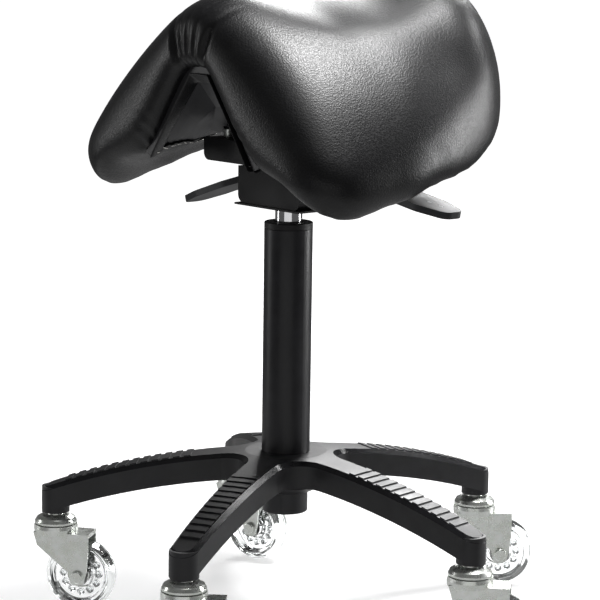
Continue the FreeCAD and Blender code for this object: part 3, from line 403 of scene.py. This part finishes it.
def half_section(place):
    """Right half of the cushion: over the top, round the flap and back along the underside."""
    wide, top = half_seat * on_line(width_line, place), on_line(crest_line, place)
    low = flap_bottom + on_line(low_line, place)
    roof, flat = on_line(roof_line, place) + on_line(wrap_line, place), on_line(flat_line, place)
    lip = on_line(lip_line, place) + lip_cover
    widest, lip_up = low + 0.17 * (top - low), lip_height(place)
    # A power of 2 would make a straight roof and 1 an ellipse: the seat is peaked in front and
    # round at the back.
    power = 1.5 - 0.55 * min(1, max(0, (90 - place) / 230))
    turns = [math.radians(degrees) for degrees in (0, 20, 38, 54, 70, 84)]
    outer = [(wide * math.sin(turn) ** power, widest + (top - widest) * math.cos(turn) ** power)
             for turn in turns]
    flap = [(wide - 0.05 * (wide - lip), low + 0.44 * (widest - low)),
            (0.76 * wide + 0.24 * lip, low),
            (0.4 * wide + 0.6 * lip, low + 0.66 * (lip_up - low))]
    inner = [(lip, lip_up), (0.44 * lip + 0.56 * flat, 0.42 * lip_up + 0.58 * roof),
             (flat, roof - 1), (0, roof)]
    middle = [Vector(spot) for spot in (
        (0, (top + roof) / 2), (flat, (top + roof) / 2), (lip * 0.8, (widest + roof) / 2 + 20),
        ((wide + lip) / 2, (widest + low) / 2 + 20))]
    shrink = on_line(squeeze_line, place)
    spots = [Vector(spot) for spot in outer + flap + inner]
    return [spot.lerp(nearest(middle, spot), shrink) for spot in spots]


print("saddle drawn on", len(stations), "stations")

# %% [markdown]
# A section has only a few points, so a smooth curve is passed through them, first round each section
# and then from section to section. The rings are then bridged into one closed skin. Bridging is the
# bmesh operator for joining loops. Each end is filled with one face, and poke puts a point in its
# middle.

# %% Skin of the saddle


def eased(before, start, end, after, share):
    """A point on a smooth curve through four points, between the middle two."""
    bend = start * 2 + (end - before) * share
    bend += (before * 2 - start * 5 + end * 4 - after) * share ** 2
    bend += (start * 3 - before - end * 3 + after) * share ** 3
    return bend / 2


def smooth_ring(points, steps):
    """A closed smooth curve through points, with a number of steps from one to the next."""
    count = len(points)
    return [eased(points[i - 1], points[i], points[(i + 1) % count], points[(i + 2) % count],
                  step / steps)
            for i in range(count) for step in range(steps)]


def smooth_run(points, steps):
    """An open smooth curve through points, which ends at the last of them."""
    last = len(points) - 1
    made = [eased(points[max(0, i - 1)], points[i], points[i + 1], points[min(last, i + 2)],
                  step / steps)
            for i in range(last) for step in range(steps)]
    return made + [points[-1]]


def full_ring(place):
    """All round one section, in metres."""
    right = half_section(place)
    left = [Vector((-spot.x, spot.y)) for spot in reversed(right[1:-1])]
    corners = [Vector((spot.x, -place - forward, spot.y)) * millimetre for spot in right + left]
    return smooth_ring(corners, steps_between)


steps_between = 4
sections = [full_ring(place) for place in stations]
columns = [smooth_run([section[i] for section in sections], steps_between)
           for i in range(len(sections[0]))]
skin = bmesh.new()
loops = []
for station in range(len(columns[0])):
    ring = [skin.verts.new(column[station]) for column in columns]
    loops.append([skin.edges.new((ring[i - 1], ring[i])) for i in range(len(ring))])
for ahead, behind in zip(loops, loops[1:]):
    bmesh.ops.bridge_loops(skin, edges=ahead + behind)
for end in (loops[0], loops[-1]):
    cap = bmesh.ops.contextual_create(skin, geom=end)["faces"]
    bmesh.ops.poke(skin, faces=cap)
bmesh.ops.recalc_face_normals(skin, faces=skin.faces)
print("skin:", len(skin.faces), "faces,", len(loops), "rings")

# %% [markdown]
# Foam under leather is never quite the shape that was drawn: it swells between the places that hold
# it. A cloth simulation with air pressure inside gives that swelling. The skin is first remeshed
# into even squares, the inner side is pinned where it lies on the pan, and no point may move more
# than a few millimetres, so that the saddle keeps its size.

# %% Swell the cushion
saddle = new_piece("saddle_leather", skin, "seat", leather)
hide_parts("seat_cover", "seat_foam")
most_swell = 3 * millimetre
voxel = 5 * millimetre
sim_steps = 20


def use_modifiers(piece):
    """The piece's mesh with its modifiers worked in."""
    bpy.context.view_layer.update()
    worked = bpy.data.meshes.new_from_object(piece.evaluated_get(bpy.context.evaluated_depsgraph_get()))
    piece.modifiers.clear()
    piece.data = worked


remesh = saddle.modifiers.new("even_squares", "REMESH")
remesh.mode = "VOXEL"
remesh.voxel_size = voxel
smooth = saddle.modifiers.new("ease", "SMOOTH")
smooth.iterations = 16
use_modifiers(saddle)
drawn = [vertex.co.copy() for vertex in saddle.data.vertices]
held = saddle.vertex_groups.new(name="held")
for vertex in saddle.data.vertices:
    faces_down = vertex.normal.z < -0.2
    if faces_down and abs(vertex.co.x) < 0.15:
        held.add([vertex.index], 1.0, "REPLACE")
cloth = saddle.modifiers.new("swell", "CLOTH")
cloth.settings.use_pressure = True
cloth.settings.uniform_pressure_force = 2
cloth.settings.effector_weights.gravity = 0
cloth.settings.vertex_group_mass = "held"
cloth.settings.tension_stiffness = 60
cloth.settings.compression_stiffness = 60
cloth.settings.bending_stiffness = 20
for step in range(1, sim_steps + 1):
    bpy.context.scene.frame_set(step)
use_modifiers(saddle)
saddle.vertex_groups.clear()
bpy.context.scene.frame_set(1)
for vertex, start in zip(saddle.data.vertices, drawn):
    move = vertex.co - start
    if move.length > most_swell:
        vertex.co = start + move.normalized() * most_swell
settle = saddle.modifiers.new("settle", "SMOOTH")
settle.iterations = 12
use_modifiers(saddle)
print("cushion:", len(saddle.data.vertices), "points")

# %% [markdown]
# Now the marks of the upholsterer. One level of subdivision gives points about two and a half
# millimetres apart, and each is pushed along its normal by what is near it: the gathers where the
# leather is pulled under the pommel, a dart that runs up from them, the puckers between the staples
# along the edge, and the groove where the rear panel is sewn on.

# %% Gathers, dart, puckers and seam
level = saddle.modifiers.new("finer", "SUBSURF")
level.levels = level.render_levels = 1
use_modifiers(saddle)
gather_x = [-0.025, -0.012, -0.002, 0.009, 0.024]
gather_deep = [0.0065, 0.0028, 0.0030, 0.0028, 0.0065]
gather_wide = [0.0038, 0.0022, 0.0022, 0.0022, 0.0038]
gather_up, gather_fan = 0.603, 14
pommel_face = -0.108
dart = [Vector((0.009, -0.128, 0.622)), Vector((0.013, -0.118, 0.640)),
        Vector((0.020, -0.093, 0.652)), Vector((0.026, -0.068, 0.652))]
dart_deep, dart_wide = 0.0011, 0.0022
seam_place, seam_deep, seam_wide = 0.164, 0.0018, 0.0026
pucker_pitch, pucker_deep, pucker_wide = 0.011, 0.0022, 0.012
last_pucker = 0.08


def bell(distance, width):
    """A smooth bump: 1 at no distance, and nearly 0 past two widths."""
    return math.exp(-(distance / width) ** 2)


def gathers(here):
    """Depth of the folds under the pommel."""
    above = here.z - gather_up
    behind = here.y - pommel_face
    near = bell(above, 0.020) * (1 if behind < 0 else bell(behind, 0.016))
    fan_out = 1 + above * gather_fan
    folds = sum(deep * bell(here.x - across * fan_out, wide)
                for across, deep, wide in zip(gather_x, gather_deep, gather_wide))
    return folds * near


def dart_depth(here):
    """Depth of the dart that runs up over the pommel."""
    spot = nearest(dart, here)
    return dart_deep * bell((spot - here).length, dart_wide)


def seam_depth(here, normal):
    """Groove of the rear seam, over the back of the saddle but not its underside."""
    outside = 1.0 if normal.z > -0.3 else 0.3
    return seam_deep * bell(here.y - seam_place, seam_wide) * outside


def pucker_depth(here, normal):
    """Small waves along the inner edge of each flap, which end before the rear."""
    if here.y >= last_pucker:
        return 0
    lip = on_line(lip_line, -here.y / millimetre - forward) * millimetre
    inward = max(0.0, -normal.x if here.x > 0 else normal.x)
    wave = 0.5 + 0.5 * math.cos(2 * math.pi * (here.y + here.z) / pucker_pitch)
    return pucker_deep * wave * inward * bell(abs(here.x) - lip, pucker_wide)


marks = bmesh.new()
marks.from_mesh(saddle.data)
marks.normal_update()
for vertex in marks.verts:
    here, normal = vertex.co, vertex.normal
    vertex.co = here - normal * (gathers(here) + dart_depth(here) + seam_depth(here, normal)
                                 + pucker_depth(here, normal))
bmesh.ops.recalc_face_normals(marks, faces=marks.faces)
marks.to_mesh(saddle.data)
marks.free()
saddle.data.polygons.foreach_set("use_smooth", [True] * len(saddle.data.polygons))
saddle.data.materials.clear()
saddle.data.materials.append(leather)
surface = BVHTree.FromObject(saddle, bpy.context.evaluated_depsgraph_get())
print("saddle finished:", len(saddle.data.polygons), "faces")

# %% [markdown]
# The rear seam is finished with a welt, a thin cord sewn into leather. It follows the surface, so
# its points are found by asking for the nearest place on the saddle, and a bevelled curve makes
# the round section. The curve is made a mesh, so that its place is in its points.

# %% Welt along the rear seam


def tube_along(name, points, radius, body, material):
    """A round bead through a row of points."""
    curve = bpy.data.curves.new(name, "CURVE")
    curve.dimensions = "3D"
    curve.bevel_depth = radius
    curve.bevel_resolution = 3
    curve.use_fill_caps = True
    spline = curve.splines.new("POLY")
    spline.points.add(len(points) - 1)
    for place, point in zip(spline.points, points):
        place.co = (*point, 1)
    holder = bpy.data.objects.new(name + "_curve", curve)
    bm = bmesh.new()
    bm.from_mesh(bpy.data.meshes.new_from_object(holder))
    bpy.data.objects.remove(holder)
    return new_piece(name, bm, body, material)


def outer_arc(place, steps=6):
    """Points over the top of the saddle at a station, from one flap to the other."""
    right = half_section(place)[:8]
    arc = [Vector((-spot.x, spot.y)) for spot in reversed(right[1:])] + right
    return smooth_run([Vector((spot.x, -place - forward, spot.y)) * millimetre for spot in arc],
                      steps)


welt_radius, welt_proud = 1.6 * millimetre, 0.2 * millimetre
welt_line = []
for spot in outer_arc(-seam_place / millimetre - forward):
    on_skin, away, _, _ = surface.find_nearest(spot)
    welt_line.append(on_skin + away * welt_proud)
tube_along("rear_welt", welt_line, welt_radius, "seat", leather)
print("welt of", len(welt_line), "points")

# %% [markdown]
# Under the saddle the leather is turned over the edge of the pan and stapled. It shows as a ribbon
# along the pan's lip under each flap, and across the arch under the pommel. Each ribbon starts as
# rows of edges, which are bridged, and solidify gives it the thickness of hide.

# %% Stapled edge strip
hide_thick = 1.3 * millimetre
hide_from, hide_to = -3, 11  # millimetres along the pan from its lip
edge_places = range(-140, front - 14, 4)


def down_curve(points, distance):
    """The point a distance along a broken line, and the direction there."""
    for start, end in zip(points, points[1:]):
        run = (end - start).length
        if distance <= run:
            return start.lerp(end, distance / run), (end - start).normalized()
        distance -= run
    return points[-1], (points[-1] - points[-2]).normalized()


def pan_spot(place, distance, side, lift):
    """A point on the underside of the pan, measured from its lip, in metres."""
    spot, run = down_curve(pan_curve(place), distance)
    off = Vector((-run.y, run.x))
    off = off if off.y < 0 else -off
    spot = spot + off * lift
    return Vector((spot.x * side, -place - forward, spot.y)) * millimetre


def strip_rows(side):
    """Both edges of the ribbon under one flap: the inner one was cut by hand, so it waves."""
    outer_row, inner_row = [], []
    for number, place in enumerate(edge_places):
        wave = 1.2 * math.sin(number * 1.9) + 0.8 * math.sin(number * 4.1)
        outer_row.append(pan_spot(place, hide_from, side, 0.4))
        inner_row.append(pan_spot(place, hide_to + wave, side, 1.2))
    return outer_row, inner_row


def edge_row(row):
    """A row of points joined by edges."""
    corners = [strip.verts.new(spot) for spot in row]
    return [strip.edges.new(pair) for pair in zip(corners, corners[1:])]


strip = bmesh.new()
for side in (1, -1):
    outer_row, inner_row = strip_rows(side)
    bmesh.ops.bridge_loops(strip, edges=edge_row(outer_row) + edge_row(inner_row))
arch_steps = 36
front_place = front - 18
arch_curve = pan_curve(front_place)
whole_arch = sum((end - start).length for start, end in zip(arch_curve, arch_curve[1:]))
reach = [whole_arch * step / arch_steps for step in range(arch_steps + 1)]
arch_rows = []
for depth_in, lift in ((-5, 2.6), (2, 2.0), (13, 1.2)):
    right, left = ([pan_spot(front_place - depth_in, distance, side, lift) for distance in reach]
                   for side in (1, -1))
    arch_rows.append(edge_row(right + left[::-1][1:]))
for first, second in zip(arch_rows, arch_rows[1:]):
    bmesh.ops.bridge_loops(strip, edges=first + second)
bmesh.ops.recalc_face_normals(strip, faces=strip.faces)
bmesh.ops.solidify(strip, geom=strip.faces, thickness=hide_thick)
edge_strip = new_piece("edge_strip", strip, "seat", leather)
finer = edge_strip.modifiers.new("soften", "SUBSURF")
finer.levels = finer.render_levels = 1

# %% [markdown]
# The staples are bright wire, nearly ten millimetres long and flattened at the crown. One crown is
# a bevelled block, and it is made again at each of its places along both lips and round the arch.
# A hand-held gun never sets them quite even, so each slips and turns by a little, from a seeded
# row of random numbers.

# %% Staples
wire, shader = start_material("staple_wire", {"Metallic": 1.0, "Base Color": (0.75, 0.74, 0.70, 1)})
plug(wire, spread(wire, noise(wire, 300, 3), 0.2, 0.4), shader, "Roughness")
random.seed(7)
staples = bmesh.new()
crown = (0.0095, 0.0011, 0.0007)  # length, width and thickness in metres
crown_lift = 2.2  # millimetres off the pan, on top of the hide
staple_spots = [(place, 7, side) for side in (1, -1) for place in range(-130, front - 16, 13)]
arch_spots = [(front_place - row, whole_arch - step, side) for side in (1, -1)
              for row, step in ((3, 4), (3, 17), (8, 10), (8, 24), (3, 34), (4, 52), (4, 72))]


def staple(at, along, away):
    """One staple crown: a flat wire that lies along the edge."""
    block = bmesh.ops.create_cube(staples, size=1.0)["verts"]
    bmesh.ops.scale(staples, vec=crown, verts=block)
    across = away.cross(along).normalized()
    turn = Matrix((along, across, away)).transposed().to_4x4()
    bmesh.ops.transform(staples, matrix=Matrix.Translation(at) @ turn, verts=block)


for place, distance, side in staple_spots:
    slip = random.uniform(-1.5, 1.5)
    at = pan_spot(place + slip, distance, side, crown_lift)
    next_to = pan_spot(place + 3, distance + random.uniform(-1, 1), side, crown_lift)
    along = (next_to - at).normalized()
    across = pan_spot(place + slip, distance + 3, side, crown_lift) - at
    staple(at, along, along.cross(across).normalized())
for place, distance, side in arch_spots:
    at = pan_spot(place, distance, side, crown_lift)
    along = (pan_spot(place, distance - 3, side, crown_lift) - at).normalized()
    across = pan_spot(place + 3, distance, side, crown_lift) - at
    staple(at, along, along.cross(across).normalized())
bmesh.ops.bevel(staples, geom=staples.edges[:], offset=0.0002, affect="EDGES", segments=2,
                profile=0.5, material=-1)
new_piece("staples", staples, "seat", wire)
print(len(staple_spots) + len(arch_spots), "staples")

# %% [markdown]
# A clear wheel would vanish against a pale room if its core were plain. The real core is moulded with
# a ring of small pockets round the bearing, and their walls catch the light. One pocket is a short
# tapered plug from create_cone, set a fraction of a millimetre into the web of the core, and it is
# repeated round the wheel's axle on both faces. The axle's place comes from the box of the hub's
# CAD part.

# %% Pockets in the wheels
pocket_count = 12
pocket_reach, pocket_wide, pocket_tall = 0.0192, 0.0040, 0.0036
pocket_taper = 0.55
web_half = 0.0028


def middle_of(node):
    """Middle of a CAD part's box."""
    low, high = (Vector(corner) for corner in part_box(node))
    return (low + high) / 2


for letter in "abcde":
    middle = middle_of(f"caster_{letter}_wheel_hub")
    trail = middle - middle_of(f"caster_{letter}_stem")
    trail.z = 0
    trail.normalize()
    pockets = bmesh.new()
    for face in (1, -1):
        away = Vector((-trail.y, trail.x, 0)) * face
        for number in range(pocket_count):
            turn = 2 * math.pi * number / pocket_count
            radial = trail * math.cos(turn) + Vector((0, 0, math.sin(turn)))
            at = middle + radial * pocket_reach + away * (web_half + pocket_tall / 2)
            axes = Matrix((radial, away.cross(radial), away)).transposed().to_4x4()
            bmesh.ops.create_cone(pockets, cap_ends=True, segments=12, radius1=pocket_wide,
                                  radius2=pocket_wide * pocket_taper, depth=pocket_tall,
                                  matrix=Matrix.Translation(at) @ axes)
    new_piece(f"wheel_pockets_{letter}", pockets, f"caster_{letter}_wheel",
              finishes["clear_hub"], smooth=False)
print(pocket_count * 2, "pockets in each wheel")

# %% [markdown]
# The tilt lever's paddle carries two small printed marks, plain arrows that say which way it works.
# An arrow starts as seven corners on a flat drawing. A ray cast down onto the paddle gives the
# place and the slope, so the print lies on the surface, and an extrusion gives it the thickness of
# ink.

# %% Arrows on the tilt lever
ink, shader = start_material("white_print", {"Roughness": 0.55})
worn = tint(ink, noise(ink, 900, 3), (0.52, 0.52, 0.52, 1), (0.70, 0.70, 0.70, 1))
plug(ink, worn, shader, "Base Color")
arrow = [(-0.6, -2.6), (0.6, -2.6), (0.6, 0.4), (1.9, 0.4), (0, 2.8), (-1.9, 0.4), (-0.6, 0.4)]
ink_thick, ink_off = 0.12 * millimetre, 0.04 * millimetre
lever_top = BVHTree.FromObject(nodes["tilt_lever"], bpy.context.evaluated_depsgraph_get())
lever_high = Vector(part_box("tilt_lever")[1])
arrows = bmesh.new()
for along, heading in ((0.020, 1), (0.036, -1)):
    down_from = Vector((lever_high.x - along, middle_of("tilt_lever").y, lever_high.z + 0.1))
    place, away, _, _ = lever_top.ray_cast(down_from, Vector((0, 0, -1)))
    across = Vector((0, 1, 0))
    ahead = across.cross(away).normalized() * heading
    corners = [arrows.verts.new(place + (across * x + ahead * y) * millimetre + away * ink_off)
               for x, y in arrow]
    face = arrows.faces.new(corners)
    raised = bmesh.ops.extrude_face_region(arrows, geom=[face])["geom"]
    bmesh.ops.translate(arrows, vec=away * ink_thick,
                        verts=[item for item in raised if isinstance(item, bmesh.types.BMVert)])
bmesh.ops.recalc_face_normals(arrows, faces=arrows.faces)
new_piece("lever_arrows", arrows, "tilt_lever", ink, smooth=False)

# %% [markdown]
# The stage is one flat pale floor. It glows a little, and more the further it is from the stool, so
# that it melts into the white room with no edge, while close to the stool it stays dim enough for
# the shadow to show. It is hidden from reflections and from bounced light, so that its glow doesn't
# wash out the black parts.

# %% Floor
paper, shader = start_material("pale_paper", {"Roughness": 0.9, "Emission Color": (1, 1, 1, 1)})
mottled = tint(paper, noise(paper, 3, 4), (0.60, 0.60, 0.61, 1), (0.64, 0.64, 0.64, 1))
plug(paper, mottled, shader, "Base Color")
on_floor = add(paper, "ShaderNodeTexCoord").outputs["Object"]
from_middle = add(paper, "ShaderNodeVectorMath", {0: on_floor}, operation="LENGTH").outputs["Value"]
plug(paper, spread(paper, from_middle, 0.52, 1.0, 0.5, 2.6), shader, "Emission Strength")
floor_half = 14.0
sheet = bmesh.new()
bmesh.ops.create_grid(sheet, x_segments=2, y_segments=2, size=floor_half)
floor_mesh = bpy.data.meshes.new("floor")
sheet.to_mesh(floor_mesh)
sheet.free()
floor_mesh.materials.append(paper)
floor = bpy.data.objects.new("floor", floor_mesh)
bpy.context.scene.collection.objects.link(floor)
floor.visible_glossy = False
floor.visible_diffuse = False
print("floor laid")

# %% [markdown]
# Black leather and black paint show little but what they mirror, so the light is a set of soft boxes
# whose reflections draw the shapes. The key and top boxes light the flank and the crest of the
# saddle, the back and edge boxes its rim and the tops of the arms, the right and left boxes run
# down the column's sides, and a low front panel and a box just above the floor, facing up, brighten
# the zinc and the undersides. The room itself is white to the eye and nearly dark to the stool.
# A box's place is given as a direction, to the right of the view, towards the viewer and up.

# %% Lights
view_right = Vector((0.656, 0.755, 0.0))
view_near = Vector((0.755, -0.656, 0.0))
view_up = Vector((0, 0, 1))
aim = Vector((0, 0, 0.42))  # the middle of the stool, which every box faces


def soft_box(name, right, near, up, distance, wide, tall, watts):
    """A light of a width and height in metres, some distance off in a direction, facing the stool."""
    direction = (view_right * right + view_near * near + view_up * up).normalized()
    data = bpy.data.lights.new(name, "AREA")
    data.shape = "RECTANGLE"
    data.size, data.size_y = wide, tall
    data.energy = watts
    lamp = bpy.data.objects.new(name, data)
    lamp.location = aim + direction * distance
    lamp.rotation_euler = direction.to_track_quat("Z", "Y").to_euler()
    bpy.context.scene.collection.objects.link(lamp)
    print(name, "at", [round(value, 2) for value in lamp.location], watts, "W")
    return lamp


soft_box("key_box", 0.30, -0.12, 0.95, 2.0, 0.5, 0.5, 44)
soft_box("top_box", 0.10, 0.30, 0.95, 2.6, 1.4, 1.4, 6)
soft_box("back_box", 0.20, -0.85, 0.47, 2.8, 1.0, 0.8, 50)
soft_box("edge_box", 0.68, -0.47, 0.57, 2.4, 0.35, 0.35, 7)
soft_box("right_box", 0.95, -0.3, 0.12, 2.4, 0.45, 1.3, 30)
soft_box("left_box", -0.98, -0.16, 0.06, 2.4, 0.35, 1.2, 7)
soft_box("front_panel", -0.10, 0.96, -0.13, 2.8, 3.4, 0.6, 4)
bounce = soft_box("floor_bounce", 0, 0, -1, 0.418, 1.7, 1.7, 3.6)
bounce.visible_camera = False
bounce.visible_transmission = False
world = bpy.data.worlds.new("pale_room")
world.use_nodes = True
backdrop = world.node_tree.nodes["Background"]
backdrop.inputs["Color"].default_value = (1.0, 1.0, 1.0, 1)
seen = world.node_tree.nodes.new("ShaderNodeLightPath")
glow = world.node_tree.nodes.new("ShaderNodeMapRange")
glow.inputs["To Min"].default_value = 0.1
glow.inputs["To Max"].default_value = 1.0
world.node_tree.links.new(seen.outputs["Is Camera Ray"], glow.inputs["Value"])
world.node_tree.links.new(glow.outputs["Result"], backdrop.inputs["Strength"])
bpy.context.scene.world = world
bpy.context.scene.view_settings.view_transform = "Standard"

# %% [markdown]
# The camera stands well back with a long lens, so the stool's uprights stay nearly parallel. It
# looks a little down. Its axes are first worked out from pitch, yaw and roll, as if it looked
# along the stool's length, and are then turned to look from the front corner, where it stands.

# %% Camera
camera_place = (1.8303, -1.5911, 0.7428)
lens_length, film_width = 143.15, 36  # in millimetres
pitch, yaw, roll = math.radians(9.515), math.radians(0.302), math.radians(0.805)
look = Vector((math.sin(yaw) * math.cos(pitch), math.cos(yaw) * math.cos(pitch), -math.sin(pitch)))
level_right = look.cross(view_up).normalized()
level_up = level_right.cross(look)
camera_right = level_right * math.cos(roll) + level_up * math.sin(roll)
camera_up = level_up * math.cos(roll) - level_right * math.sin(roll)
corner_turn = Matrix.Rotation(math.radians(49), 3, "Z")
axes = Matrix([corner_turn @ axis for axis in (camera_right, camera_up, -look)]).transposed()
camera_data = bpy.data.cameras.new("camera")
camera_data.lens = lens_length
camera_data.sensor_width = film_width
camera = bpy.data.objects.new("camera", camera_data)
camera.matrix_world = Matrix.Translation(camera_place) @ axes.to_4x4()
bpy.context.scene.collection.objects.link(camera)
bpy.context.scene.camera = camera
print("camera at", [round(value, 3) for value in camera.location])
